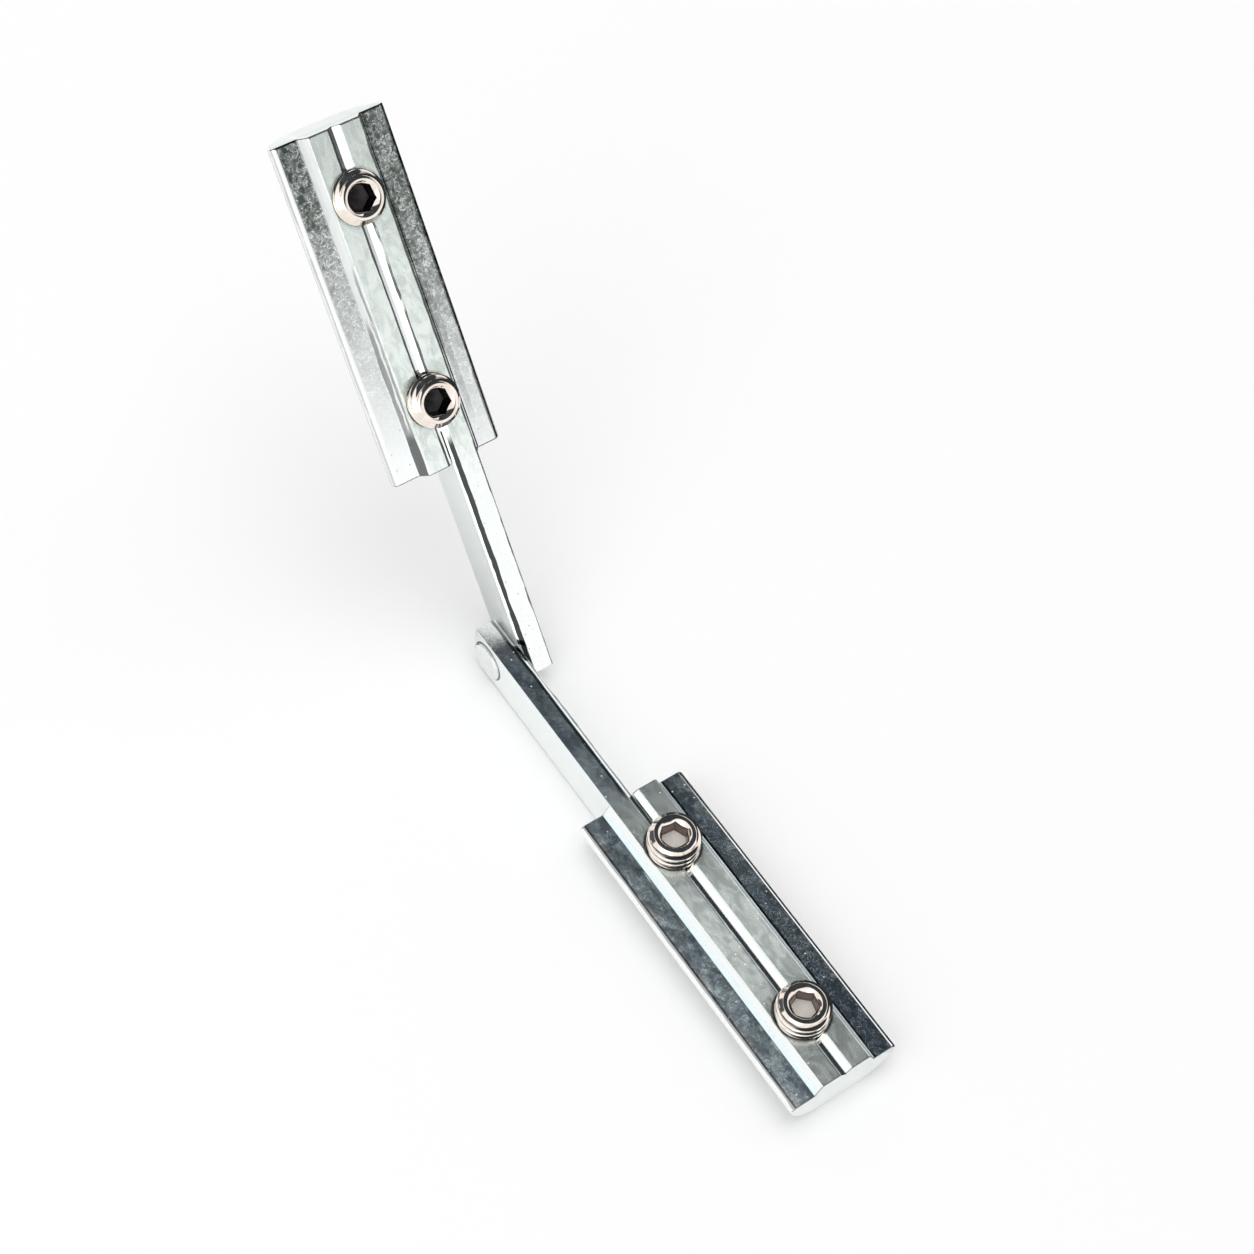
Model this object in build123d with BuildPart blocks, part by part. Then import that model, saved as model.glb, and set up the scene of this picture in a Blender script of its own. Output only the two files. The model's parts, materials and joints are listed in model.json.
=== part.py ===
"""Pivot joint for slotted framing profiles.

Two identical steel slide bars, each drawn to a T section and milled down to a half-width arm
at one end, lie arm beside arm on one rivet. Each bar slides into a profile's slot and is
clamped there by two set screws that push off the slot's bottom.

Row frame: origin at the centre of the lower bar's underside, X along the rivet, Y along the
lower bar towards the rivet, Z up out of the lower bar's neck. All lengths in millimetres.
"""

from build123d import *
from math import cos, radians
import os

# %% Driving dimensions

# Drawn section of the slide bar
bar_height = 8.0
flange_width = 17.5
flange_edge_radius = 0.9
flange_side_height = 0.3
belly_flat_width = 5.0
neck_height = 1.9
neck_base_width = 9.9
neck_top_width = 7.9
neck_edge_radius = 0.3
neck_root_radius = 0.25
groove_width = 2.0
groove_depth = 0.8

# Lengths along the slide bar, counted from the rivet
bar_length = 50.0
arm_reach = 31.0
arm_overhang = 3.5
arm_top_corner_radius = 1.2
arm_belly_corner_radius = 3.0
slit_width = 0.2
slit_depth = 5.0
end_edge_radius = 0.25

# Joint
bend_angle = 51.5
rivet_shank_diameter = 4.0
rivet_shank_clearance = 0.05
rivet_head_diameter = 6.0
rivet_head_height = 0.4
rivet_head_edge_radius = 0.15
rivet_head_clearance = 0.05

# M8 set screws, drawn plain
screw_end_distance = 10.0
screw_diameter = 7.6
screw_clearance = 0.05
screw_length = 10.0
screw_top_chamfer = 0.9
socket_across_flats = 4.0
socket_depth = 4.0
socket_drill_depth = 1.1
socket_mouth_chamfer = 0.2
cup_diameter = 5.0
cup_rim_width = 0.4
cup_depth = 1.2

# How far each screw stands out of the neck, and how its socket is turned
screw_settings = {
    "lower_inner_set_screw": (3.4, 52.7),
    "lower_outer_set_screw": (3.2, 17.0),
    "upper_inner_set_screw": (2.6, 42.0),
    "upper_outer_set_screw": (1.7, 40.0),
}

# %% Places worked out from them, in the bar's own frame: origin on the rivet's axis,
# X along the rivet, Y outwards along the bar, Z towards the neck

neck_top = bar_height / 2
bar_bottom = -bar_height / 2
flange_top = neck_top - neck_height
bar_end = arm_reach + bar_length
arm_side = neck_top_width / 2
arm_face = slit_width / 2
screw_stations = (arm_reach + screw_end_distance, bar_end - screw_end_distance)

rivet_point = (0, arm_reach + bar_length / 2, bar_height / 2)
lower_place = Location(rivet_point, (0, 0, 180))
upper_place = Location(rivet_point, (bend_angle, 0, 0))


# %% Slide bar


def bar_section():
    """The drawn T section: half of it, from the neck's middle round to the belly's, mirrored."""
    with BuildSketch() as section:
        with BuildLine():
            land = Line((0, neck_top), (neck_top_width / 2, neck_top))
            taper = Line(land @ 1, (neck_base_width / 2, flange_top))
            ledge = Line(taper @ 1, (flange_width / 2 - flange_edge_radius, flange_top))
            lip = TangentArc(
                ledge @ 1,
                (flange_width / 2, flange_top - flange_edge_radius),
                tangent=(1, 0),
            )
            side = Line(lip @ 1, lip @ 1 - (0, flange_side_height))
            TangentArc((belly_flat_width / 2, bar_bottom), side @ 1, tangent=(1, 0))
            Line((belly_flat_width / 2, bar_bottom), (0, bar_bottom))
            mirror(about=Plane.YZ)
        make_face()
        neck_edges = section.vertices().group_by(Axis.Y)[-1].sort_by(Axis.X)
        fillet([neck_edges[0], neck_edges[-1]], neck_edge_radius)
        neck_roots = [
            corner
            for corner in section.vertices()
            if abs(abs(corner.X) - neck_base_width / 2) < 1e-6
        ]
        fillet(neck_roots, neck_root_radius)
    return section.sketch


def half_arm():
    """One half of the neck's width and the bar's whole height, milled flat on both sides."""
    arm_end = arm_reach + slit_depth
    with BuildPart() as arm:
        with BuildSketch(Plane.XZ.offset(-arm_end)):
            add(bar_section())
            with Locations((arm_face, 0)):
                Rectangle(
                    arm_side - arm_face,
                    bar_height,
                    align=(Align.MIN, Align.CENTER),
                    mode=Mode.INTERSECT,
                )
        extrude(amount=arm_end + arm_overhang)

        # The arm's tip, rounded as seen from the side
        with BuildSketch(Plane.YZ) as side_view:
            with Locations((-arm_overhang, 0)):
                Rectangle(arm_end + arm_overhang, bar_height, align=(Align.MIN, Align.CENTER))
            tip_corners = side_view.vertices().group_by(Axis.X)[0].sort_by(Axis.Y)
            fillet(tip_corners[0], arm_belly_corner_radius)
            fillet(tip_corners[-1], arm_top_corner_radius)
        extrude(amount=flange_width, mode=Mode.INTERSECT)
    return arm.part


def slide_bar():
    """The T section cut to length with its ends rounded over, the arm, the slit, the groove
    and the holes."""
    with BuildPart() as bar:
        with BuildSketch(Plane.XZ.offset(-bar_end)):
            add(bar_section())
        extrude(amount=bar_length)
        ends = bar.faces().filter_by(Axis.Y)
        fillet(ends.edges(), end_edge_radius)
        add(half_arm())

        # The slit that parts the arm from the neck's other half
        with BuildSketch(Plane.XY):
            with Locations((0, arm_reach)):
                Rectangle(slit_width, slit_depth, align=(Align.CENTER, Align.MIN))
        extrude(amount=bar_height, both=True, mode=Mode.SUBTRACT)

        # V-groove down the neck, which runs on as a bevel along the arm
        with BuildSketch(Plane.XZ.offset(-bar_end)):
            with BuildLine():
                Polyline(
                    (-groove_width / 2, neck_top),
                    (groove_width / 2, neck_top),
                    (0, neck_top - groove_depth),
                    close=True,
                )
            make_face()
        extrude(amount=bar_end + arm_overhang, mode=Mode.SUBTRACT)

        # Tapped holes for the set screws
        with Locations(*[(0, station, neck_top) for station in screw_stations]):
            Hole(screw_diameter / 2 + screw_clearance)

        # Rivet hole through the arm
        with BuildSketch(Plane.YZ):
            Circle(rivet_shank_diameter / 2 + rivet_shank_clearance)
        extrude(amount=flange_width, both=True, mode=Mode.SUBTRACT)
    return bar.part


# %% Set screw


def set_screw(socket_turn):
    """A headless screw with a hexagon socket above and a cup point below, its top face at Z 0."""
    radius = screw_diameter / 2
    cup_radius = cup_diameter / 2
    point_height = radius - cup_radius
    with BuildPart() as screw:
        with BuildSketch(Plane.XZ):
            with BuildLine():
                Polyline(
                    (0, 0),
                    (radius - screw_top_chamfer, 0),
                    (radius, -screw_top_chamfer),
                    (radius, point_height - screw_length),
                    (cup_radius, -screw_length),
                    (cup_radius - cup_rim_width, -screw_length),
                    (0, cup_depth - screw_length),
                    close=True,
                )
            make_face()
        revolve(axis=Axis.Z)
        with BuildSketch(Plane.XY):
            socket_corner_radius = socket_across_flats / 2 / cos(radians(30))
            RegularPolygon(socket_corner_radius, 6, rotation=socket_turn)
        extrude(amount=-socket_depth, mode=Mode.SUBTRACT)
        # The drill's cone below the hexagon, and the chamfer at its mouth
        with BuildSketch(Plane.XZ):
            socket_half = socket_across_flats / 2
            mouth_radius = socket_corner_radius + socket_mouth_chamfer
            with BuildLine():
                Polyline(
                    (0, 0),
                    (mouth_radius, 0),
                    (socket_half, socket_half - mouth_radius),
                    (socket_half, -socket_depth),
                    (0, -socket_depth - socket_drill_depth),
                    close=True,
                )
            make_face()
        revolve(axis=Axis.Z, mode=Mode.SUBTRACT)
    return screw.part


# %% Pieces in their places

os.makedirs("parts", exist_ok=True)

bar_blank = slide_bar()

with BuildPart() as lower_slide_bar:
    with Locations(lower_place):
        add(bar_blank)
lower_slide_bar.part.label = "lower_slide_bar"
export_step(lower_slide_bar.part, "parts/lower_slide_bar.step")

with BuildPart() as upper_slide_bar:
    with Locations(upper_place):
        add(bar_blank)
upper_slide_bar.part.label = "upper_slide_bar"
export_step(upper_slide_bar.part, "parts/upper_slide_bar.step")

# The rivet: one head is set hard on the lower arm, the other runs free of the upper arm
with BuildPart() as pivot_rivet:
    with BuildSketch(Plane(rivet_point)):
        shank_radius = rivet_shank_diameter / 2
        head_radius = rivet_head_diameter / 2
        fixed_seat = -arm_side
        running_seat = arm_side + rivet_head_clearance
        with BuildLine():
            Polyline(
                (fixed_seat - rivet_head_height, 0),
                (fixed_seat - rivet_head_height, head_radius),
                (fixed_seat, head_radius),
                (fixed_seat, shank_radius),
                (running_seat, shank_radius),
                (running_seat, head_radius),
                (running_seat + rivet_head_height, head_radius),
                (running_seat + rivet_head_height, 0),
                close=True,
            )
        make_face()
    revolve(axis=Axis(rivet_point, (1, 0, 0)))
    rims = pivot_rivet.edges().filter_by(GeomType.CIRCLE).sort_by(Axis.X)
    fillet([rims[0], rims[-1]], rivet_head_edge_radius)
pivot_rivet.part.label = "pivot_rivet"
export_step(pivot_rivet.part, "parts/pivot_rivet.step")

for name, (projection, socket_turn) in screw_settings.items():
    bar_place = lower_place if name.startswith("lower") else upper_place
    station = screw_stations[0] if "inner" in name else screw_stations[1]
    with BuildPart() as placed_screw:
        with Locations(bar_place * Location((0, station, neck_top + projection))):
            add(set_screw(socket_turn))
    placed_screw.part.label = name
    export_step(placed_screw.part, f"parts/{name}.step")
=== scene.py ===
# %% [markdown]
# # A pivot joint for slotted framing profiles
# Two drawn steel bars with a T section slide into profile slots. Each runs on as a half-width
# arm, and the arms lie side by side on one rivet. Set screws clamp the bars in their slots.
# The frame brings the solids in at their real size, in metres, and this lesson dresses them.

# %% Bring in the frame
import json
import math
from types import SimpleNamespace

import bpy
import numpy as np
from mathutils import Matrix, Vector


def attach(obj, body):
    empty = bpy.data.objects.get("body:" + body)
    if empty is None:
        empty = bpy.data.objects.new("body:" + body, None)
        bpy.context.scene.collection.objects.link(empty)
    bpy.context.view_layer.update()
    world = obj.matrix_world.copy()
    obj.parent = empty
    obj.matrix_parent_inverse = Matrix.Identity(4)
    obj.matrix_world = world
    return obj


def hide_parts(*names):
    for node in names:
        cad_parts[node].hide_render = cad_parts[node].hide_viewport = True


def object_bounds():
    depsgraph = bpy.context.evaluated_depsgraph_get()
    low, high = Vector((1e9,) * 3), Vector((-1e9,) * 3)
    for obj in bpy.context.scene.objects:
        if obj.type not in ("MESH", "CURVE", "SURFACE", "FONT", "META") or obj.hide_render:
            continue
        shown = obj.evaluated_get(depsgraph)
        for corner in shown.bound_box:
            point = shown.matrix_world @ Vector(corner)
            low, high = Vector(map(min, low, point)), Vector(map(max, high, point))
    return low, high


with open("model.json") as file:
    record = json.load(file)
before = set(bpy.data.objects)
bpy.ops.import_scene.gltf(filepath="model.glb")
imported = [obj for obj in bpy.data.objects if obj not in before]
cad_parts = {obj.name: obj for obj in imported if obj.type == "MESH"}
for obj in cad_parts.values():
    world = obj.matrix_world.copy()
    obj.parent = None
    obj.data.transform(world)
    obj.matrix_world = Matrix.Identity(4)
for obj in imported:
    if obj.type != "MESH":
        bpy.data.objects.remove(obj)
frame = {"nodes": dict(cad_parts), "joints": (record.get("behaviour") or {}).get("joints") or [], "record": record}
cad_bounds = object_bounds()
MM = 0.001
MICRON = 1e-6
print("solids:", sorted(frame["nodes"]))

# %% [markdown]
# ## Camera
# The joint is looked at from above and from the left, with the lower bar running down to the
# right and the raised bar up to the left. A lens of 70 mm keeps the perspective gentle.
# The camera's place is fixed first, because every finish is judged from there.

# %% Camera
CAMERA_PLACE = (-0.11444, -0.10006, 0.30600)
CAMERA_TURN = (33.196, -4.300, -34.612)
LENS = 69.86
SENSOR_WIDTH = 36.0
camera_data = bpy.data.cameras.new("camera")
camera_data.lens = LENS
camera_data.sensor_width = SENSOR_WIDTH
camera_data.clip_start = 0.01
camera = bpy.data.objects.new("camera", camera_data)
camera.location = CAMERA_PLACE
camera.rotation_euler = [math.radians(angle) for angle in CAMERA_TURN]
bpy.context.scene.collection.objects.link(camera)
bpy.context.scene.camera = camera
bpy.context.scene.view_settings.view_transform = "Standard"
print("camera with a lens of", LENS, "mm")

# %% [markdown]
# ## Small helpers for nodes
# A material is a chain of nodes. Written out in full, each step of arithmetic takes several
# lines, and the finish gets lost among them. So one helper adds a node and fills its inputs,
# which may be plain values or another node's output, and short helpers on top of it do sums.

# %% Node helpers
def add_node(tree, kind, inputs=None, **settings):
    """Adds one node, sets its properties, and fills or links its inputs by name or number."""
    node = tree.nodes.new(kind)
    for name, value in settings.items():
        setattr(node, name, value)
    for key, value in (inputs or {}).items():
        if isinstance(value, bpy.types.NodeSocket):
            tree.links.new(value, node.inputs[key])
        else:
            node.inputs[key].default_value = value
    return node


def remap(tree, value, low, high, new_low=0.0, new_high=1.0, smooth=True):
    """Carries value from low..high to new_low..new_high, held at both ends."""
    node = add_node(
        tree,
        "ShaderNodeMapRange",
        {"Value": value, 1: low, 2: high, 3: new_low, 4: new_high},
        interpolation_type="SMOOTHSTEP" if smooth else "LINEAR",
    )
    return node.outputs[0]


def blend_colours(tree, share, first, second):
    """Mixes two colours by share, which may be a number or a socket."""
    node = add_node(tree, "ShaderNodeMix", {"Factor": share}, data_type="RGBA")
    for key, value in ((6, first), (7, second)):
        if isinstance(value, bpy.types.NodeSocket):
            tree.links.new(value, node.inputs[key])
        else:
            node.inputs[key].default_value = (*value, 1.0)
    return node.outputs[2]


# %% Sums on sockets
def arithmetic(tree, operation, first, second=0.0, third=0.0):
    """One sum on numbers, as a socket."""
    node = add_node(tree, "ShaderNodeMath", {0: first, 1: second, 2: third}, operation=operation)
    return node.outputs[0]


def times(tree, first, *others):
    """The product of all that is given."""
    for other in others:
        first = arithmetic(tree, "MULTIPLY", first, other)
    return first


def larger(tree, first, *others):
    """The largest of all that is given."""
    for other in others:
        first = arithmetic(tree, "MAXIMUM", first, other)
    return first


def minus(tree, first, second):
    """first - second."""
    return arithmetic(tree, "SUBTRACT", first, second)


def add_share(tree, total, share, amount):
    """total + share * amount."""
    return arithmetic(tree, "MULTIPLY_ADD", share, amount, total)


def between(tree, share, first, second):
    """first where share is 0, second where it is 1, and in proportion in between."""
    return add_share(tree, first, minus(tree, second, first), share)


def away_from(tree, value, middle):
    """How far value lies from middle, to either side."""
    return arithmetic(tree, "ABSOLUTE", minus(tree, value, middle))


def hypotenuse(tree, first, second):
    """The square root of first * first + second * second."""
    squares = add_share(tree, times(tree, second, second), first, first)
    return arithmetic(tree, "SQRT", squares)


# %% Material helpers
def new_material(name):
    """An empty material, its node tree and its shader."""
    material = bpy.data.materials.new(name)
    material.use_nodes = True
    tree = material.node_tree
    return material, tree, tree.nodes["Principled BSDF"]


def connect(tree, shader, looks):
    """Links each socket to the shader's input of that name."""
    for name, socket in looks.items():
        tree.links.new(socket, shader.inputs[name])


def bump(tree, height, **extra):
    """A normal from a height in thousandths of a millimetre."""
    inputs = {"Height": height, "Distance": MICRON, "Strength": 1.0, **extra}
    return add_node(tree, "ShaderNodeBump", inputs).outputs[0]


# %% [markdown]
# ## Studio
# Bright plating has hardly any colour of its own: it shows the room. The room here is white up
# to a dark ceiling, which hangs lower in the middle than towards the left and the right. So the
# lower bar's tops, which look up, go nearly black, the raised bar's tops, which look forwards,
# stay white, and every face that leans left is white. A brighter stretch of wall on the left
# makes the highlights on the screws, and a dark doorway behind it on the left draws the black
# crescents beside them. Matt surfaces see an even white room instead, brighter overhead, which
# lays a soft shadow close round the joint.
#
# It could be built as walls and a ceiling. As a formula on the direction of a ray it has no
# corners, and each kind of ray can be given the room that it needs.

# %% Room
CEILING_DARK = (0.020, 0.026, 0.034)
CEILING_EDGE = (0.36, 0.52)
CEILING_RISE_WEST = 0.9
CEILING_RISE_EAST = 1.5
CEILING_FLAT_TO_EAST = 0.5
DOORWAY_AIM = (-0.63, 0.77, 0.10)
DOORWAY_EDGE = (0.91, 0.95)
DOORWAY_DEPTH = 0.95
BRIGHT_WALL_AIM = (-0.85, -0.42, 0.32)
BRIGHT_WALL_EDGE = (0.89, 0.95)
BRIGHT_WALL_GLOW = 0.65
WALL_GLOW = 1.06
EVEN_LIGHT = 0.59
OVERHEAD_LIGHT = 1.6
OVERHEAD_EDGE = (0.88, 0.92)
WHITE = (1.0, 1.0, 1.0)

world = bpy.data.worlds.new("studio")
bpy.context.scene.world = world
world.use_nodes = True
sky = world.node_tree
sky.nodes.clear()
direction = add_node(sky, "ShaderNodeTexCoord").outputs["Generated"]
east, _, height = add_node(sky, "ShaderNodeSeparateXYZ", {0: direction}).outputs[:3]


def towards(aim):
    """How closely the direction seen agrees with aim: 1 when they are the same."""
    node = add_node(sky, "ShaderNodeVectorMath", {0: direction, 1: aim}, operation="DOT_PRODUCT")
    return node.outputs["Value"]


west_rise = larger(sky, times(sky, east, -CEILING_RISE_WEST), 0.0)
east_rise = times(sky, minus(sky, east, CEILING_FLAT_TO_EAST), CEILING_RISE_EAST)
above = minus(sky, minus(sky, height, west_rise), larger(sky, east_rise, 0.0))
ceiling = remap(sky, above, *CEILING_EDGE)
doorway = remap(sky, towards(DOORWAY_AIM), *DOORWAY_EDGE)
shade = larger(sky, ceiling, times(sky, doorway, DOORWAY_DEPTH))
room_colour = blend_colours(sky, shade, WHITE, CEILING_DARK)
bright_wall = remap(sky, towards(BRIGHT_WALL_AIM), *BRIGHT_WALL_EDGE)
glow = add_share(sky, WALL_GLOW, bright_wall, BRIGHT_WALL_GLOW)
overhead = add_share(sky, EVEN_LIGHT, remap(sky, height, *OVERHEAD_EDGE), OVERHEAD_LIGHT)

# %% Which ray sees which room
light_path = add_node(sky, "ShaderNodeLightPath")


def room_light(colour, strength):
    """The room in one colour and strength."""
    return add_node(sky, "ShaderNodeBackground", {"Color": colour, "Strength": strength}).outputs[0]


def choose(ray, chosen, otherwise):
    """One room for the rays of that kind and another for the rest."""
    inputs = {0: light_path.outputs[ray], 1: otherwise, 2: chosen}
    return add_node(sky, "ShaderNodeMixShader", inputs).outputs[0]


mirrored = room_light(room_colour, glow)
even = room_light((*WHITE, 1.0), overhead)
plain_white = room_light((*WHITE, 1.0), 1.0)
lit = choose("Is Glossy Ray", mirrored, even)
seen = choose("Is Camera Ray", plain_white, lit)
add_node(sky, "ShaderNodeOutputWorld", {"Surface": seen})
print("room nodes:", len(sky.nodes))

# %% [markdown]
# ## Floor, cards and lamps
# The joint lies on a pale matt floor. Dark cards and a dark mat on the right are seen only in
# the plating, where they draw the thin dark lines along the right-hand edges, as a worker in a
# dark coat would. Three weak lamps give the soft shadow a direction.

# %% Floor and cards
DARK_PAPER = (0.02, 0.024, 0.028)
FLOOR_PAINT = (0.93, 0.93, 0.93)
FLOOR_HALF = 1.5
PAPER_DULL = 0.9
CARD_EAST = 0.04
lowest = cad_bounds[0][2]
mat_height = lowest + 0.1 * MM


def flat_sheet(name, corners, colour):
    """A single flat face in a plain matt colour, kept out of the object."""
    mesh = bpy.data.meshes.new(name)
    mesh.from_pydata(corners, [], [range(len(corners))])
    sheet = bpy.data.objects.new(name, mesh)
    bpy.context.scene.collection.objects.link(sheet)
    material, _, shader = new_material(name + "_paint")
    shader.inputs["Base Color"].default_value = (*colour, 1)
    shader.inputs["Roughness"].default_value = PAPER_DULL
    shader.inputs["Specular IOR Level"].default_value = 0.0
    mesh.materials.append(material)
    return sheet


signs = ((-1, -1), (1, -1), (1, 1), (-1, 1))
flat_sheet("floor", [(a * FLOOR_HALF, b * FLOOR_HALF, lowest) for a, b in signs], FLOOR_PAINT)
low_card = [(-0.06, lowest), (0.04, lowest), (0.04, 0.014), (-0.06, 0.014)]
high_card = [(0.03, 0.016), (0.16, 0.016), (0.16, 0.14), (0.03, 0.025)]
mat = [(0.0105, -0.06), (CARD_EAST, -0.06), (CARD_EAST, 0.17),
       (-0.012, 0.17), (-0.012, 0.062), (0.0105, 0.062)]
dark_sheets = {
    "low_dark_card": [(CARD_EAST, north, up) for north, up in low_card],
    "high_dark_card": [(CARD_EAST, north, up) for north, up in high_card],
    "dark_mat": [(across, north, mat_height) for across, north in mat],
}
for name, corners in dark_sheets.items():
    sheet = flat_sheet(name, corners, DARK_PAPER)
    sheet.visible_camera = False
    sheet.visible_diffuse = False
    sheet.visible_shadow = False
print("dark sheets:", len(dark_sheets))

# %% Lamps
JOINT_MIDDLE = (0.0, 0.03, 0.02)
LAMP_SIZE = 0.6
LAMPS = {
    "left_lamp": ((-0.7, -0.1, 0.7), 1.50),
    "right_lamp": ((0.7, 0.0, 0.8), 0.70),
    "back_lamp": ((0.1, 0.9, 0.7), 0.80),
}
for name, (place, watts) in LAMPS.items():
    lamp_data = bpy.data.lights.new(name, "AREA")
    lamp_data.size = LAMP_SIZE
    lamp_data.energy = watts
    lamp = bpy.data.objects.new(name, lamp_data)
    lamp.location = place
    aim = Vector(JOINT_MIDDLE) - Vector(place)
    lamp.rotation_euler = aim.to_track_quat("-Z", "Y").to_euler()
    lamp.visible_glossy = False
    bpy.context.scene.collection.objects.link(lamp)
print("lamps:", len(LAMPS))

# %% [markdown]
# ## Bright zinc
# The bars are drawn, milled, tumbled and zinc plated. The plating is glossy with dull patches,
# and tumbling leaves short curly scratches and a few small pits. The neck's land is rubbed dull
# by the slot, the arm's top less so, and the milled faces keep a pale matt skin. This could be
# a painted image, but a pattern worked out from the place on the bar needs no unwrapping and
# stays sharp however near it is seen.
#
# A scratch is the thin line where a noise crosses its middle value, broken up by a mask.
# Scratches and pits are cut in as bump, so they flash bright on a dark reflection and dark
# on a bright one, as real ones do.

# %% Pattern helpers
def noise(tree, place, scale, detail=2.0, distortion=0.0):
    """A cloud between 0 and 1 whose lumps are about 1 / scale across."""
    inputs = {"Vector": place, "Scale": scale, "Detail": detail, "Distortion": distortion}
    return add_node(tree, "ShaderNodeTexNoise", inputs).outputs[0]


def scratch_lines(tree, place, scale, width):
    """1 on thin curly lines: where a noise field lies within width of its middle value."""
    field = noise(tree, place, scale, 1.0, 1.0)
    return remap(tree, away_from(tree, field, 0.5), 0.0, width, 1.0, 0.0)


def pit_spots(tree, place, scale, size, share):
    """1 in round spots of the given size in one cell out of every 1 / share."""
    cells = add_node(tree, "ShaderNodeTexVoronoi", {"Vector": place, "Scale": scale})
    draw = add_node(tree, "ShaderNodeSeparateColor", {0: cells.outputs["Color"]}).outputs[0]
    spot = remap(tree, cells.outputs["Distance"], 0.4 * size, size, 1.0, 0.0)
    return times(tree, spot, arithmetic(tree, "LESS_THAN", draw, share))


def stretched(tree, place, along):
    """The same place with the bar's length drawn out, so that a pattern runs along it."""
    inputs = {"Vector": place, "Scale": (1.0, 1.0 / along, 1.0)}
    return add_node(tree, "ShaderNodeMapping", inputs).outputs[0]


def varied(tree, cloud, spread, swing):
    """A factor that follows a cloud, from 1 - swing in its hollows to 1 + swing on its lumps,
    which lie spread below and above its middle value."""
    return remap(tree, cloud, 0.5 - spread, 0.5 + spread, 1.0 - swing, 1.0 + swing)


def band(tree, value, middle, half, soft=0.06):
    """1 where value lies within half of middle, falling to 0 over soft on both sides."""
    return remap(tree, away_from(tree, value, middle), half, half + soft, 1.0, 0.0)


# %% [markdown]
# ### Places on a bar
# Both bars are the same piece, one of them turned round and raised. So the finish is worked
# out in the bar's own millimetres, by turning the place on the joint back to the place on an
# upright bar, and both bars carry it the same way round. Soft masks then pick out each face
# from its height and its distance from the middle, since all of them are one solid.

# %% Own frame of a bar
FLANGE_TOP = 2.1
FLANGE_FOOT = 5.2
FLANGE_EDGE = 7.6
NECK_TOP = 4.0
NECK_SIDE = 3.95
NECK_FOOT = 4.95
GROOVE_LIP = 1.0
BAR_START = 31.0
BAR_END = 81.0
SCREW_STATIONS = (41.0, 71.0)


def bar_spot(tree, turn, pivot):
    """Place and facing in one bar's frame, in millimetres: X across it, Y outwards from the
    rivet, Z up. The place is turned back about the pivot by the bar's own turn."""
    coordinates = add_node(tree, "ShaderNodeTexCoord")
    back = Matrix.Rotation(-turn[1], 3, turn[0])
    to_bar = {
        "Vector": coordinates.outputs["Object"],
        "Location": -(back @ Vector(pivot)) / MM,
        "Rotation": back.to_euler(),
        "Scale": (1 / MM, 1 / MM, 1 / MM),
    }
    place = add_node(tree, "ShaderNodeMapping", to_bar).outputs[0]
    to_bar = {"Vector": coordinates.outputs["Normal"], "Rotation": back.to_euler()}
    facing = add_node(tree, "ShaderNodeMapping", to_bar).outputs[0]
    x, y, z = add_node(tree, "ShaderNodeSeparateXYZ", {0: place}).outputs[:3]
    return SimpleNamespace(
        place=place,
        x=x,
        y=y,
        z=z,
        side=arithmetic(tree, "ABSOLUTE", x),
        plus_side=remap(tree, x, -0.5, 0.5),
        minus_side=remap(tree, x, 0.5, -0.5),
        facing=add_node(tree, "ShaderNodeSeparateXYZ", {0: facing}).outputs[:3],
    )


# %% Faces of a bar
def bar_faces(tree, at):
    """Masks from 0 to 1 for the neck's land, the arm's top, the tops of the flanges, the walls
    of the groove and of the neck, the milled faces, and the two ends among those."""
    top = remap(tree, at.z, NECK_TOP - 0.25, NECK_TOP - 0.08)
    on_bar = remap(tree, at.y, BAR_START - 4.0, BAR_START + 7.0)
    below_land = remap(tree, at.z, NECK_TOP - 0.02, NECK_TOP - 0.08)
    in_groove = remap(tree, at.side, GROOVE_LIP + 0.02, GROOVE_LIP - 0.04)
    neck_height = remap(tree, at.z, NECK_TOP - 0.02, NECK_TOP - 0.12)
    inside_foot = remap(tree, at.side, NECK_FOOT + 0.03, NECK_FOOT - 0.01)
    outside_land = remap(tree, at.side, NECK_SIDE, NECK_SIDE + 0.08)
    ends = remap(tree, arithmetic(tree, "ABSOLUTE", at.facing[1]), 0.9, 0.98)
    sides = remap(tree, arithmetic(tree, "ABSOLUTE", at.facing[0]), 0.93, 0.99)
    on_arm = remap(tree, at.y, BAR_START + 0.6, BAR_START - 0.1)
    return SimpleNamespace(
        land=times(tree, top, on_bar),
        arm_top=times(tree, top, minus(tree, 1.0, on_bar)),
        flange=times(
            tree,
            remap(tree, at.z, FLANGE_TOP + 0.3, FLANGE_TOP + 0.05),
            remap(tree, at.z, 0.6, 1.4),
        ),
        groove=times(tree, in_groove, below_land),
        neck_wall=times(tree, neck_height, inside_foot, outside_land),
        milled=larger(tree, times(tree, sides, on_arm), ends),
        ends=ends,
    )


# %% [markdown]
# ### Clouds and marks
# Five clouds give the plating its unevenness. Each has a scale in lumps per millimetre, a
# detail, a distortion, and how far it is drawn out along the bar, as drawing leaves it. The
# marks take two scales: long curls, and hairs that are shorter and finer.

# %% Clouds and marks
MOTTLE = (0.42, 4.0, 0.9, 1.5)
FINE_MOTTLE = (1.6, 4.0, 0.5, 1.0)
STREAKS = (1.6, 3.0, 0.4, 7.0)
LAND_CLOUD = (0.7, 4.0, 1.2, 2.0)
WAVES = (0.22, 1.0, 0.0, 2.5)
CURLS = (0.8, 0.032)
HAIRS = (1.5, 0.034)
PITS = (0.9, 0.13, 0.30)
MARKS_OFF_FLANGE = 0.3


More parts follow.
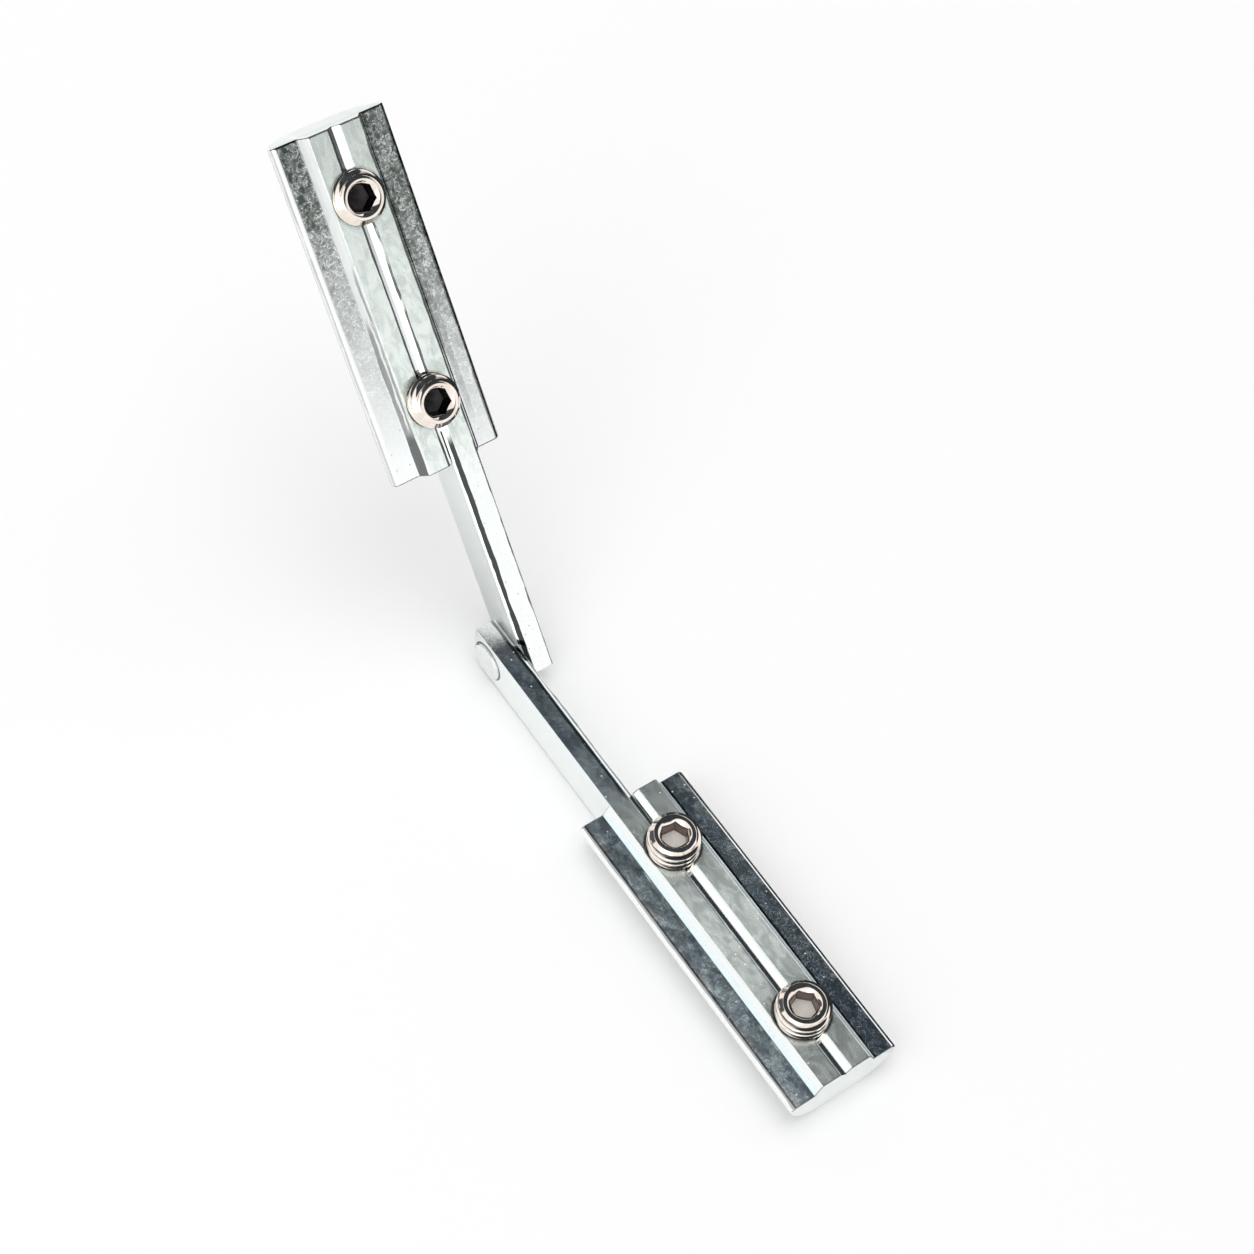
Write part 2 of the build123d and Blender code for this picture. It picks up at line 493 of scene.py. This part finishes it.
def bar_cloud(tree, at, scale, detail, distortion, along):
    """One cloud in the bar's own frame, drawn out along the bar."""
    return noise(tree, stretched(tree, at.place, along), scale, detail, distortion)


def bar_patterns(tree, at, face):
    """The clouds, the dull patches where the mottle is high, the marks that tumbling leaves
    (curls and hairs in patches, weaker off the flanges), and pits."""
    mottle = bar_cloud(tree, at, *MOTTLE)
    fine_mottle = bar_cloud(tree, at, *FINE_MOTTLE)
    curls = scratch_lines(tree, at.place, *CURLS)
    curls = times(tree, curls, remap(tree, mottle, 0.40, 0.52))
    hairs = scratch_lines(tree, at.place, *HAIRS)
    hairs = times(tree, hairs, remap(tree, fine_mottle, 0.45, 0.56))
    strength = remap(tree, face.flange, 0.0, 1.0, MARKS_OFF_FLANGE, 1.0)
    return SimpleNamespace(
        mottle=mottle,
        fine_mottle=fine_mottle,
        streaks=bar_cloud(tree, at, *STREAKS),
        land_cloud=bar_cloud(tree, at, *LAND_CLOUD),
        waves=bar_cloud(tree, at, *WAVES),
        dull_patch=remap(tree, mottle, 0.36, 0.64),
        marks=times(tree, larger(tree, curls, hairs), strength),
        pits=pit_spots(tree, at.place, *PITS),
    )


# %% [markdown]
# ### Haze and dullness
# Worn plating does two things to a reflection. Its fine dust of scratches scatters some light
# every way, which lifts a dark reflection to grey, and its waviness blurs the rest. One
# roughness can't do both, since it would blur the sharp lines away. So the haze is made as a
# share of plain matt surface, by lowering the metallic value, and the blur as roughness.

# %% Haze
FLANGE_FADES = ((1.8, 0.3), (0.75, 1.1))
MARK_HAZE = 0.14
LAND_MOST_RUBBED = 57.0
LAND_HAZE = (0.46, 0.22)
ARM_HAZE = (0.035, 0.09)
ARM_MARK_HAZE = 0.35
SATIN_FLANK = 0.75
MILLED_HAZE = 0.55
PIT_HAZE = 0.85


def bar_scatter(tree, at, face, pattern, oil_and_shade, haze):
    """The share of light scattered in place of mirrored: hazy flanges whose haze fades along
    the bar, a land rubbed most in its middle, the arm's top, one satin flank of the neck,
    milled faces, and pits, except on the oily bar, where its film fills them."""
    foot_to_edge = [
        remap(tree, at.side, FLANGE_FOOT, FLANGE_EDGE, *pair, smooth=False) for pair in haze
    ]
    flange_haze = between(tree, at.plus_side, *foot_to_edge)
    fades = [remap(tree, at.y, 36.0, 77.0, *pair) for pair in FLANGE_FADES]
    flange_haze = times(
        tree,
        flange_haze,
        between(tree, at.plus_side, *fades),
        varied(tree, pattern.mottle, 0.12, 0.45),
        varied(tree, pattern.fine_mottle, 0.15, 0.25),
    )
    scatter = times(tree, add_share(tree, flange_haze, pattern.marks, MARK_HAZE), face.flange)

    rubbed = remap(tree, away_from(tree, at.y, LAND_MOST_RUBBED), 4.0, 15.0, *LAND_HAZE)
    land_haze = times(tree, rubbed, varied(tree, pattern.land_cloud, 0.15, 0.2))
    scatter = add_share(tree, scatter, face.land, land_haze)

    arm_haze = remap(tree, at.y, 12.0, 28.0, *ARM_HAZE)
    arm_haze = times(tree, arm_haze, varied(tree, pattern.mottle, 0.14, 0.5))
    arm_haze = add_share(tree, arm_haze, pattern.marks, ARM_MARK_HAZE)
    scatter = add_share(tree, scatter, face.arm_top, arm_haze)

    satin = times(tree, face.neck_wall, at.minus_side)
    scatter = add_share(tree, scatter, satin, SATIN_FLANK)
    scatter = add_share(tree, scatter, face.milled, MILLED_HAZE)
    return add_share(tree, scatter, pattern.pits, PIT_HAZE * (1.0 - oil_and_shade))


# %% Dullness
SMOOTH_ZINC = 0.055
GRAIN_DULL = 0.03
FLANGE_DULL = (0.03, 0.05)
LAND_DULL = (0.10, 0.20)
ARM_DULL = (0.03, 0.09)
DRY_TIP_DULL = 0.30
MILLED_DULL = 0.45
MARK_DULL = 0.05


def bar_roughness(tree, at, face, pattern, oil_and_shade):
    """How far the reflection is blurred: a little on the flanges' dull patches, more on the
    land, the arm's top and its dry tip, and most on the milled faces."""
    flange_dull = remap(tree, at.side, FLANGE_FOOT + 0.2, FLANGE_EDGE + 0.3, *FLANGE_DULL)
    flange_dull = times(tree, flange_dull, pattern.dull_patch)
    land_dull = remap(tree, pattern.land_cloud, 0.35, 0.65, *LAND_DULL)
    arm_dull = remap(tree, pattern.land_cloud, 0.35, 0.65, *ARM_DULL)
    dry_tip = remap(tree, at.y, 2.5, -1.0, 0.0, DRY_TIP_DULL * (1.0 - oil_and_shade))
    roughness = add_share(tree, SMOOTH_ZINC, flange_dull, face.flange)
    roughness = add_share(tree, roughness, pattern.fine_mottle, GRAIN_DULL)
    roughness = add_share(tree, roughness, face.land, land_dull)
    roughness = add_share(tree, roughness, face.arm_top, arm_dull)
    roughness = add_share(tree, roughness, times(tree, dry_tip, face.arm_top), pattern.fine_mottle)
    roughness = add_share(tree, roughness, face.milled, MILLED_DULL)
    return add_share(tree, roughness, pattern.marks, MARK_DULL)


# %% [markdown]
# ### Colour, oily film and painted shade
# Zinc plating is nearly white, with a faint blue or green cast where the passivation lies
# thicker. The raised bar carries an old oily film on its flanges, which the scratches have broken.
# The film is painted darker outwards, and sooner on the +X side, as a painted dark reflection.
# Dark lines are painted along the edges of the neck, the groove and the flanges, with rings round
# the screw holes and round the rivet's head: painted shade and dark reflections, with some soiling.
# Drawing such lines by hand on an image would take unwrapping. Here each is a narrow band in
# the bar's own X, which a streaky noise breaks and makes ragged.

# %% Zinc colours
ZINC = (0.95, 0.97, 0.975)
ZINC_DULL = (0.935, 0.96, 0.945)
ZINC_BLUE = (0.81, 0.94, 0.98)
ZINC_GREEN = (0.88, 0.955, 0.91)
SMEAR = (0.84, 0.90, 0.865)
# An oily film, painted darker as a dark reflection on the flanges:
OIL_FILM_AND_DARK_REFLECTION = (0.10, 0.125, 0.105)
LAND_STAIN = (0.35, 0.42, 0.37)
# The +X flank of the neck, painted dark as the dark flange that it reflects:
FLANK_OIL_AND_DARK_REFLECTION = (0.12, 0.14, 0.125)
MILLED_SKIN = (0.93, 0.965, 0.95)
# Black for the painted shade and dark reflection lines and rings, with some soiling:
DIRT_AND_PAINTED_SHADE = (0.030, 0.037, 0.035)


def oil_film_and_dark_reflection(tree, at, face, pattern, oil_and_shade):
    """How thick the oily film lies on a flange, painted darker as a dark reflection: more outwards
    along the bar and sooner on the +X side, hardly any along the -X edge, and none in the scratches."""
    along = add_share(tree, at.y, at.plus_side, 8.0)
    return times(
        tree,
        face.flange,
        remap(tree, along, 33.0, 71.0, 0.0, oil_and_shade, smooth=False),
        remap(tree, at.x, -8.1, -7.7, 0.15, 1.0),
        remap(tree, pattern.fine_mottle, 0.38, 0.62, 1.06, 0.84),
        remap(tree, pattern.mottle, 0.35, 0.65, 1.08, 0.85),
        add_share(tree, 1.0, pattern.marks, -0.90),
    )


def bar_colour(tree, at, face, pattern, oil_and_shade):
    """Zinc with its casts, the land's smears, the flanges' oily film and the +X flank of the neck, both painted
    dark as a dark reflection, the stains, and milled skin.
    """
    tops = times(tree, face.flange, remap(tree, at.side, 7.9, 7.6))
    tops = larger(tree, tops, times(tree, face.arm_top, remap(tree, at.y, 1.0, 5.0)))
    smear = times(tree, face.land, remap(tree, pattern.streaks, 0.46, 0.66))
    stain = remap(tree, pattern.land_cloud, 0.42, 0.66, 0.0, 0.30 * oil_and_shade)
    layers = (
        (times(tree, tops, 1.0 - oil_and_shade), ZINC_BLUE),
        (face.land, ZINC_GREEN),
        (smear, SMEAR),
        # The flanges' oily film, painted darker as a dark reflection:
        (oil_film_and_dark_reflection(tree, at, face, pattern, oil_and_shade), OIL_FILM_AND_DARK_REFLECTION),
        (times(tree, face.land, stain), LAND_STAIN),
        # The +X flank of the neck, painted dark as the dark flange that it reflects:
        (times(tree, face.neck_wall, at.plus_side, 0.55 * oil_and_shade), FLANK_OIL_AND_DARK_REFLECTION),
        (times(tree, face.milled, 0.9), MILLED_SKIN),
    )
    colour = blend_colours(tree, pattern.dull_patch, ZINC, ZINC_DULL)
    for share, layer in layers:
        colour = blend_colours(tree, share, colour, layer)
    return colour


# %% Painted shade and soiling
# Rings round the screw holes, lines along the edges and at the ends, and a ring round the rivet's head are painted
# shade and dark reflections, with some soiling.
HOLE_EDGE = 4.0
RING_WIDTH = 0.35
THIN_LINE = 0.15
LINE_FADE = 1.5
LINE_RAGGED = 0.4
END_LINE = 0.08
END_LINE_DEPTH = 0.65
RIVET_EDGE = 3.12
RIVET_SHADE_WIDTH = 0.18
RIVET_SHADE_DEPTH = 0.85


def painted_shade_lines(tree, at, pattern, shade_and_dirt_lines):
    """The painted dark lines along a bar, painted shade and dark reflections along its edges and creases with some
    soiling, faded at both ends, with breaks in the thin ones.
    """
    breaks = remap(tree, pattern.streaks, 0.34, 0.50, 0.45, 1.0)
    ragged = add_share(tree, at.x, minus(tree, pattern.streaks, 0.5), LINE_RAGGED)
    lines = []
    for middle, half, depth, first, last in shade_and_dirt_lines:
        line = times(
            tree,
            band(tree, ragged, middle, half),
            depth,
            remap(tree, at.y, first - LINE_FADE, first + LINE_FADE),
            remap(tree, at.y, last + LINE_FADE, last - LINE_FADE),
        )
        lines.append(times(tree, line, breaks) if half < THIN_LINE else line)
    return lines


def bar_shade_and_dirt(tree, at, face, pattern, oil_and_shade, shade_and_dirt_lines):
    """Painted shade with some soiling: rings round the screw holes, lines along the bar and at its two
    ends, all kept to the faces that look up, and a painted contact shadow round the rivet's head."""
    # Painted shade round each screw hole, standing for the hole's chamfer and the screw's dark reflection:
    rings = []
    for station in SCREW_STATIONS:
        away = hypotenuse(tree, at.x, minus(tree, at.y, station))
        ring = remap(tree, away, HOLE_EDGE, HOLE_EDGE + RING_WIDTH, 0.85 - 0.7 * oil_and_shade, 0.0)
        rings.append(times(tree, ring, face.land))
    # Dark lines painted along both end edges, as painted shade:
    off_the_arm = larger(tree, remap(tree, at.x, 0.0, -0.1), remap(tree, at.x, 4.0, 4.1))
    start = times(tree, band(tree, at.y, BAR_START + END_LINE, 0.06), off_the_arm)
    end = larger(tree, start, band(tree, at.y, BAR_END - END_LINE, 0.06))
    end = times(tree, end, remap(tree, at.z, 0.9, 1.3), END_LINE_DEPTH)
    upright = larger(tree, face.ends, remap(tree, at.facing[2], 0.35, 0.15))
    shade_and_dirt = larger(tree, *rings, *painted_shade_lines(tree, at, pattern, shade_and_dirt_lines), end)
    shade_and_dirt = times(tree, shade_and_dirt, minus(tree, 1.0, upright))
    # A painted contact shadow round the rivet's head:
    from_rivet = hypotenuse(tree, at.y, at.z)
    rivet_contact_shade = remap(tree, from_rivet, RIVET_EDGE, RIVET_EDGE + RIVET_SHADE_WIDTH, 1.0, 0.0)
    return larger(tree, shade_and_dirt, times(tree, rivet_contact_shade, remap(tree, at.x, 3.8, 3.9, 0.0, RIVET_SHADE_DEPTH)))


# %% [markdown]
# ### Relief
# A drawn face is never quite flat. Waves a hundredth of a millimetre high and some
# millimetres long bend the reflections, the drawing die leaves lines in the groove, and scratches
# and pits go deeper. Real geometry this fine would take millions of faces, so it is bump. The
# sharp edges of the solids get a small ease the same way, which catches a thin light.

# %% Relief and bar material
EASE = 0.14
WAVE_HEIGHT = 14.0
MOTTLE_HEIGHT = 6.0
GRAIN_HEIGHT = 3.0
GROOVE_LINE_HEIGHT = 12.0
MARK_DEPTH = 0.8
PIT_DEPTH = 20.0


def bar_relief(tree, face, pattern):
    """Height in thousandths of a millimetre: each cloud times its height, less each mark."""
    relief = times(tree, pattern.waves, WAVE_HEIGHT)
    relief = add_share(tree, relief, pattern.mottle, MOTTLE_HEIGHT)
    relief = add_share(tree, relief, pattern.fine_mottle, GRAIN_HEIGHT)
    groove_lines = times(tree, pattern.streaks, face.groove)
    relief = add_share(tree, relief, groove_lines, GROOVE_LINE_HEIGHT)
    relief = add_share(tree, relief, pattern.marks, -MARK_DEPTH)
    return add_share(tree, relief, pattern.pits, -PIT_DEPTH)


def bar_material(name, turn, pivot, oil_and_shade, haze, shade_and_dirt_lines):
    """Bright zinc for one bar.

    oil is how dark the flanges' oily film, which is partly a painted dark reflection, gets at the
    outer end. haze is how much light a flange scatters at its foot and at its edge, first on the -X
    side and then on the +X side. grime lists the dark lines that run along the bar, which are painted
    shade and dark reflections along edges and creases with some soiling: place in X, half width,
    depth, first and last Y.
    """
    material, tree, shader = new_material(name)
    at = bar_spot(tree, turn, pivot)
    face = bar_faces(tree, at)
    pattern = bar_patterns(tree, at, face)
    # Painted shade and dark reflection lines, with some soiling, darken the colour and cut the haze.
    shade_and_dirt = bar_shade_and_dirt(tree, at, face, pattern, oil_and_shade, shade_and_dirt_lines)
    colour = bar_colour(tree, at, face, pattern, oil_and_shade)
    scatter = bar_scatter(tree, at, face, pattern, oil_and_shade, haze)
    scatter = times(tree, scatter, add_share(tree, 1.0, shade_and_dirt, -0.6))
    eased = add_node(tree, "ShaderNodeBevel", {"Radius": EASE * MM}, samples=6).outputs[0]
    looks = {
        "Base Color": blend_colours(tree, shade_and_dirt, colour, DIRT_AND_PAINTED_SHADE),
        "Metallic": minus(tree, 1.0, scatter),
        "Roughness": bar_roughness(tree, at, face, pattern, oil_and_shade),
        "Normal": bump(tree, bar_relief(tree, face, pattern), Normal=eased),
    }
    connect(tree, shader, looks)
    return material


# %% [markdown]
# ## Bars
# The bars' solids already have their true shape, with rounded ends and flange edges, so they
# stay as they are and only change their material. The lower bar is dry and hazy, with its
# painted shade and soiling in thin lines. The raised one is oily, with broader black lines of
# painted shade.

# %% Dress the bars
hinge = next(joint for joint in frame["joints"] if joint["type"] == "hinge")
PIVOT = Vector(hinge["pos_m"])
BEND = math.radians(51.5)
# Each bar's list of dark lines is painted shade and dark reflections along its edges and creases, with some
# soiling.
bars = {
    "lower_slide_bar": {
        "turn": ("Z", math.pi),
        "oil_and_shade": 0.0,
        "haze": ((0.015, 0.03), (0.10, 0.18)),
        "shade_and_dirt_lines": [
            (1.10, 0.08, 0.40, 36, 83),
            (1.22, 0.20, 0.75, -4, 31),
            (0.40, 0.12, 0.80, -4, 33),
            (-4.02, 0.06, 0.35, 29, 83),
            (-5.22, 0.14, 0.90, 29, 83),
            (8.18, 0.24, 0.55, 29, 83),
            (-8.34, 0.12, 0.65, 29, 83),
        ],
    },
    "upper_slide_bar": {
        "turn": ("X", BEND),
        "oil_and_shade": 0.93,
        "haze": ((0.03, 0.03), (0.03, 0.03)),
        "shade_and_dirt_lines": [
            (-0.84, 0.18, 0.88, 34, 83),
            (-0.45, 0.30, 0.60, 72, 83),
            (0.84, 0.12, 0.92, 40, 70),
            (0.68, 0.27, 0.985, -4, 35),
            (3.86, 0.12, 0.85, 6, 83),
            (5.18, 0.12, 0.60, 46, 83),
            (5.75, 0.45, 0.22, 36, 72),
            (-4.20, 0.08, 0.60, 29, 62),
            (-4.66, 0.16, 0.60, 29, 54),
            (-4.45, 0.38, 0.85, 29, 38),
            (-8.55, 0.10, 0.30, 29, 83),
            (8.02, 0.12, 0.65, 29, 83),
        ],
    },
}
for node, finish in bars.items():
    bar = frame["nodes"][node]
    bar.data.materials.clear()
    bar.data.materials.append(bar_material(node + "_zinc", pivot=PIVOT, **finish))
    print(node, len(bar.data.polygons), "faces")

# %% [markdown]
# ## Rivet
# The rivet's head is a flat disc set down hard on the arm, a little duller than the bars. Its
# solid keeps its shape and only gets a satin zinc, cloudy between two tones.

# %% Dress the rivet
RIVET_LIGHT = (0.90, 0.92, 0.915)
RIVET_DARK = (0.80, 0.83, 0.82)
RIVET_DULL = (0.15, 0.28)
SKIN_HEIGHT = 2.0


def rivet_material():
    """Satin zinc between two colours and two roughnesses, which follow one cloud."""
    material, tree, shader = new_material("rivet_zinc_plate")
    shader.inputs["Metallic"].default_value = 1.0
    place = add_node(tree, "ShaderNodeTexCoord").outputs["Object"]
    mottle = noise(tree, place, 700.0, 4.0, 0.4)
    cloud = remap(tree, mottle, 0.35, 0.65)
    looks = {
        "Base Color": blend_colours(tree, cloud, RIVET_DARK, RIVET_LIGHT),
        "Roughness": remap(tree, mottle, 0.3, 0.7, *RIVET_DULL),
        "Normal": bump(tree, times(tree, mottle, SKIN_HEIGHT)),
    }
    connect(tree, shader, looks)
    return material


rivet = frame["nodes"]["pivot_rivet"]
rivet.data.materials.clear()
rivet.data.materials.append(rivet_material())
print("pivot_rivet", len(rivet.data.polygons), "faces")

# %% [markdown]
# ## Set screws
# A set screw is a threaded stud with a hexagon socket at one end and a cup point at the other.
# It could be a cylinder with a bump map, but the thread's outline shows against the bar, so the
# thread is real geometry here. The surface is one grid: rings from the point, up the thread,
# over the top and down the socket. Each ring is a circle whose radius is a formula. Every ring
# also carries marks for the material: the socket's wall, where the broached steel is brown and
# hardly plated and is painted darker still as painted shade in the recess, its dull floor, painted
# near white as painted light, the raised bar's sockets, painted black as painted shade, and the
# thread's roots, which are greasy and painted black as painted shade in the creases.

# %% Nickel
NICKEL_LIGHT = (0.93, 0.86, 0.79)
NICKEL_DARK = (0.86, 0.765, 0.69)
# Brown broached steel, darkened further as painted shade in the socket:
BROACHED_STEEL_AND_SHADE = (0.20, 0.155, 0.14)
# The socket's floor, painted near white as painted light:
SOCKET_FLOOR_PAINTED_LIGHT = (0.98, 0.94, 0.86)
# The thread's roots, greasy and painted black as painted shade:
GREASE_AND_ROOT_SHADE = (0.05, 0.042, 0.036)
# Black painted shade in the raised bar's sockets:
SOCKET_SHADE_BLACK = (0.022, 0.016, 0.020)
NICKEL_DULL = (0.04, 0.10)
WALL_DULL = 0.16
FLOOR_DULL = 0.38
FLOOR_HAZE = 0.98
NICKEL_HAZE = 0.015


def mark_value(tree, mark):
    """The value that each point of a screw carries under the mark's name."""
    return add_node(tree, "ShaderNodeAttribute", attribute_name=mark).outputs["Fac"]


def nickel():
    """Warm bright nickel; brown steel on the socket's wall, darkened further as painted shade; a dull
    floor painted near white as painted light; black in the thread's roots, which are greasy and
    painted dark as painted shade; and black in the raised bar's sockets as painted shade."""
    material, tree, shader = new_material("warm_nickel_plate")
    place = add_node(tree, "ShaderNodeTexCoord").outputs["Object"]
    # The socket's wall is brown steel darkened as painted shade, and its floor is painted near white as painted
    # light.
    wall = mark_value(tree, "socket_wall")
    bottom = mark_value(tree, "socket_floor")
    # The thread's roots, greasy and painted black as painted shade:
    root_grease_and_shade = remap(tree, mark_value(tree, "thread_root"), 0.35, 0.8, 0.0, 0.92)
    # Black painted shade in the raised bar's sockets:
    oil_and_shade = times(tree, mark_value(tree, "socket_shade"), 0.95)
    mottle = noise(tree, place, 900.0, 3.0, 0.3)
    colour = blend_colours(tree, remap(tree, mottle, 0.35, 0.65), NICKEL_DARK, NICKEL_LIGHT)
    layers = (
        (wall, BROACHED_STEEL_AND_SHADE),
        (bottom, SOCKET_FLOOR_PAINTED_LIGHT),
        (root_grease_and_shade, GREASE_AND_ROOT_SHADE),
        (oil_and_shade, SOCKET_SHADE_BLACK),
    )
    for share, layer in layers:
        colour = blend_colours(tree, share, colour, layer)
    roughness = add_share(tree, remap(tree, mottle, 0.3, 0.7, *NICKEL_DULL), wall, WALL_DULL)
    looks = {
        "Base Color": colour,
        "Metallic": minus(tree, 1.0, add_share(tree, NICKEL_HAZE, bottom, FLOOR_HAZE)),
        "Roughness": add_share(tree, roughness, bottom, FLOOR_DULL),
        "Normal": bump(tree, times(tree, mottle, SKIN_HEIGHT)),
    }
    connect(tree, shader, looks)
    return material


warm_nickel = nickel()

# %% [markdown]
# ### Thread and socket
# Going once round the thread moves it along by one pitch. So the radius follows a phase that
# grows with the depth and with the angle together, and equal rings give a true helix. The
# hexagon is also a radius that depends on the angle: the distance to a flat, divided by the
# cosine of the angle from that flat's middle.

# %% Measures of a screw, in millimetres
PITCH = 1.25
CREST = 3.83
ROOT = 3.20
ROOT_FLAT = 0.10
FLANK = 0.72
LENGTH = 10.0
TOP_RADIUS = 2.95
RIM_RADIUS = 2.36
SOCKET_HALF = 1.76
SOCKET_DEPTH = 2.9
DRILL_TIP = 0.9
CUP_RADIUS = 2.5
CUP_RIM = 0.4
CUP_DEPTH = 1.2
AROUND = 144
THREAD_RINGS = 190
TURN = np.linspace(0, 2 * np.pi, AROUND, endpoint=False)


# %% Radius formulas
def thread_radius(turn, depth):
    """Radius at an angle and a depth: one flat crest, a flank, a round root and a flank per
    pitch, with the phase going once round as the depth grows by one pitch."""
    phase = (depth / PITCH + turn / (2 * np.pi)) % 1.0
    away = 2 * np.abs(phase - 0.5)
    rise = np.clip((away - ROOT_FLAT) / FLANK, 0.0, 1.0)
    rise = rise * rise * (3 - 2 * rise)
    return ROOT + (CREST - ROOT) * rise


def hexagon_radius(turn):
    """Distance from the axis to the socket's wall at an angle, with corners at 0, 60, ..."""
    within = (turn % (np.pi / 3)) - np.pi / 6
    return SOCKET_HALF / np.cos(within)


# %% Rings
def rings_at(pairs):
    """A radius and a height at every step round, for each pair of numbers or arrays."""
    return [(np.broadcast_to(r, AROUND), np.broadcast_to(z, AROUND)) for r, z in pairs]


def cup_rings():
    """A hollow cone, shallower with the radius, and the narrow flat rim round it."""
    inner = CUP_RADIUS - CUP_RIM
    cone = [(r, -LENGTH + CUP_DEPTH * (1 - r / inner)) for r in (0.3, 0.8, 1.4, inner - 0.05)]
    return rings_at(cone + [(inner + 0.05, -LENGTH), (CUP_RADIUS - 0.06, -LENGTH)])


def thread_rings():
    """The thread, cut down to a slope of 45 degrees at both ends, and how deep in its root each
    point lies: 0 on the crest and near the top, 1 at the bottom of the groove."""
    depth = np.linspace(LENGTH - 0.04, 0.06, THREAD_RINGS)[:, None]
    radius = thread_radius(TURN, depth)
    in_root = (CREST - radius) / (CREST - ROOT) * np.clip((depth - 0.5) / 0.3, 0.0, 1.0)
    radius = np.minimum(radius, TOP_RADIUS + depth)
    radius = np.minimum(radius, CUP_RADIUS + (LENGTH - depth))
    return rings_at(zip(radius, -depth)), in_root


def top_rings():
    """The flat ring on top, with both edges slightly eased, and the sink into the socket."""
    wall = hexagon_radius(TURN)
    return rings_at([
        (TOP_RADIUS + 0.02, -0.025),
        (TOP_RADIUS - 0.03, 0.0),
        (RIM_RADIUS + 0.05, 0.0),
        (RIM_RADIUS - 0.01, -0.02),
        (wall + 0.03, wall - RIM_RADIUS + 0.03),
    ])


def socket_rings():
    """The hexagon's wall from its mouth down, and the drilled floor with its cone."""
    wall = hexagon_radius(TURN)
    mouth = wall - RIM_RADIUS
    shaft = [(wall, mouth - 0.03)]
    shaft += [(wall, mouth + (-SOCKET_DEPTH - mouth) * share) for share in (0.3, 0.6, 0.97)]
    floor = [(wall - 0.05, -SOCKET_DEPTH), (1.6, -SOCKET_DEPTH),
             (0.8, -SOCKET_DEPTH - 0.45), (0.2, -SOCKET_DEPTH - 0.8)]
    return rings_at(shaft), rings_at(floor)


def screw_rings():
    """Radius and height of every ring of the screw, rings by points around, and the marks: 1 on
    the socket's wall, 1 on its floor, and rising to 1 in the thread's root."""
    thread, in_root = thread_rings()
    wall, floor = socket_rings()
    parts = {"cup": cup_rings(), "thread": thread, "top": top_rings(), "wall": wall, "floor": floor}
    part_of = np.array([name for name, rings in parts.items() for _ in rings])
    rings = [ring for own in parts.values() for ring in own]
    radius = np.array([r for r, _ in rings])
    height = np.array([z for _, z in rings])
    root = np.zeros_like(radius)
    root[part_of == "thread"] = in_root
    on_wall = (part_of == "wall")[:, None] * np.ones(AROUND)
    on_floor = (part_of == "floor")[:, None] * np.ones(AROUND)
    return radius, height, {"socket_wall": on_wall, "socket_floor": on_floor, "thread_root": root}


# %% Grid of rings to a mesh
def ring_grid(name, points, first_pole, last_pole):
    """A closed mesh from rings of points (rings, around, 3), with a pole at each end."""
    rings, around, _ = points.shape
    vertices = np.vstack([points.reshape(-1, 3), first_pole, last_pole])
    low = np.arange((rings - 1) * around)
    ring, step = low // around, low % around
    right = ring * around + (step + 1) % around
    quads = np.stack([low, right, right + around, low + around], axis=1)
    step = np.arange(around)
    beside = (step + 1) % around
    start = np.stack([np.full(around, rings * around), beside, step], axis=1)
    last = (rings - 1) * around
    end = np.stack([np.full(around, rings * around + 1), last + step, last + beside], axis=1)
    mesh = bpy.data.meshes.new(name)
    mesh.from_pydata(vertices.tolist(), [], quads.tolist() + start.tolist() + end.tolist())
    return mesh


# %% Where each screw stands
def across_and_along(up):
    """Two directions across an axis: the first is the rivet's, the second completes the frame."""
    across = Vector((1, 0, 0))
    return across, Vector(up).cross(across)


def top_of(node, up):
    """The middle of a screw's top face, from the solid's own corners."""
    corners = np.array([v.co for v in frame["nodes"][node].data.vertices])
    middle = Vector((0, 0, 0))
    for way in across_and_along(up):
        reach = corners @ np.array(way)
        middle += way * float(reach.max() + reach.min()) / 2
    return middle + Vector(up) * float((corners @ np.array(up)).max())


# %% Build the screws
joints = {joint["child"]: joint for joint in frame["joints"]}
bodies = frame["record"]["behaviour"]["bodies"]
SOCKET_TURNS = {
    "lower_inner_set_screw": -127.3,
    "lower_outer_set_screw": -163.0,
    "upper_inner_set_screw": 42.0,
    "upper_outer_set_screw": 40.0,
}
# The raised bar's screws have their sockets painted black as painted shade.
SHADED_SOCKET_BODIES = ("upper_inner_screw", "upper_outer_screw")
SHARP_EDGE = math.radians(50)
radius, height, marks = screw_rings()
for node, socket_turn in SOCKET_TURNS.items():
    body = next(name for name, nodes in bodies.items() if node in nodes)
    up = Vector(joints[body]["axis"]).normalized()
    start = top_of(node, up)
    angle = TURN + math.radians(socket_turn)
    flat = np.stack([radius * np.cos(angle), radius * np.sin(angle), height], axis=2) * MM
    points = flat @ np.array([*across_and_along(up), up]) + np.array(start)
    first_pole = np.array(start + up * MM * (CUP_DEPTH - LENGTH))[None, :]
    last_pole = np.array(start + up * MM * (-SOCKET_DEPTH - DRILL_TIP))[None, :]
    mesh = ring_grid(node + "_threaded", points, first_pole, last_pole)
    in_socket = marks["socket_wall"] + marks["socket_floor"]
    # In those screws the socket's wall and floor carry the mark for black painted shade.
    own_marks = {**marks, "socket_shade": in_socket * (body in SHADED_SOCKET_BODIES)}
    for mark, grid in own_marks.items():
        values = np.append(grid.ravel(), [0.0, grid[-1, 0]]).astype(np.float32)
        mesh.attributes.new(mark, "FLOAT", "POINT").data.foreach_set("value", values)
    mesh.shade_smooth()
    mesh.set_sharp_from_angle(angle=SHARP_EDGE)
    mesh.materials.append(warm_nickel)
    screw = bpy.data.objects.new(node + "_threaded", mesh)
    bpy.context.scene.collection.objects.link(screw)
    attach(screw, body)
    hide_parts(node)
    print(screw.name, len(mesh.polygons), "faces")
